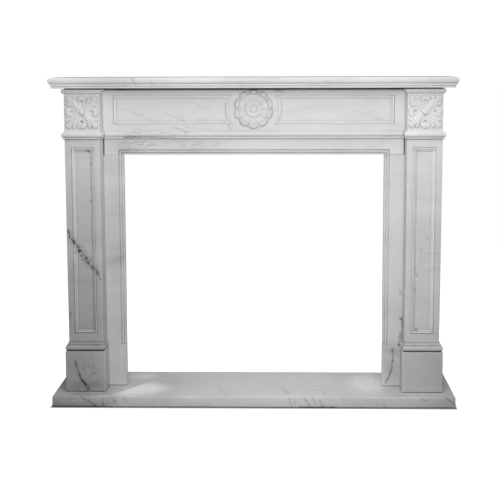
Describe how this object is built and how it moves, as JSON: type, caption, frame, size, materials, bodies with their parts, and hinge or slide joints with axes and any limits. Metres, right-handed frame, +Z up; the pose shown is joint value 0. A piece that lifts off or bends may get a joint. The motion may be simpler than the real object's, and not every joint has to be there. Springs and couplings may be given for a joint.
{
  "type": "fireplace mantel",
  "caption": "Carved white marble fireplace mantel on a hearth slab: panelled pilasters, corner flower blocks, frieze with rosette, slips and moulded shelf.",
  "frame": {"origin": "middle of the hearth slab's underside", "axes": "+X to the right seen from the front, +Y from the front to the wall behind, +Z up"},
  "size_m": [1.5, 0.4, 1.217],
  "materials": {
    "white_marble": "honed white marble with soft grey clouds and a few dark veins",
    "hearth_marble": "honed white marble, slightly greyer, with diagonal grey veins"
  },
  "bodies": {
    "root": {"hearth_slab": "hearth_marble", "left_plinth_block": "white_marble", "right_plinth_block": "white_marble", "left_pilaster": "white_marble", "right_pilaster": "white_marble", "left_corner_block": "white_marble", "right_corner_block": "white_marble", "left_slip": "white_marble", "right_slip": "white_marble", "head_slip": "white_marble", "frieze": "white_marble", "mantel_shelf": "white_marble"}
  },
  "joints": []
}
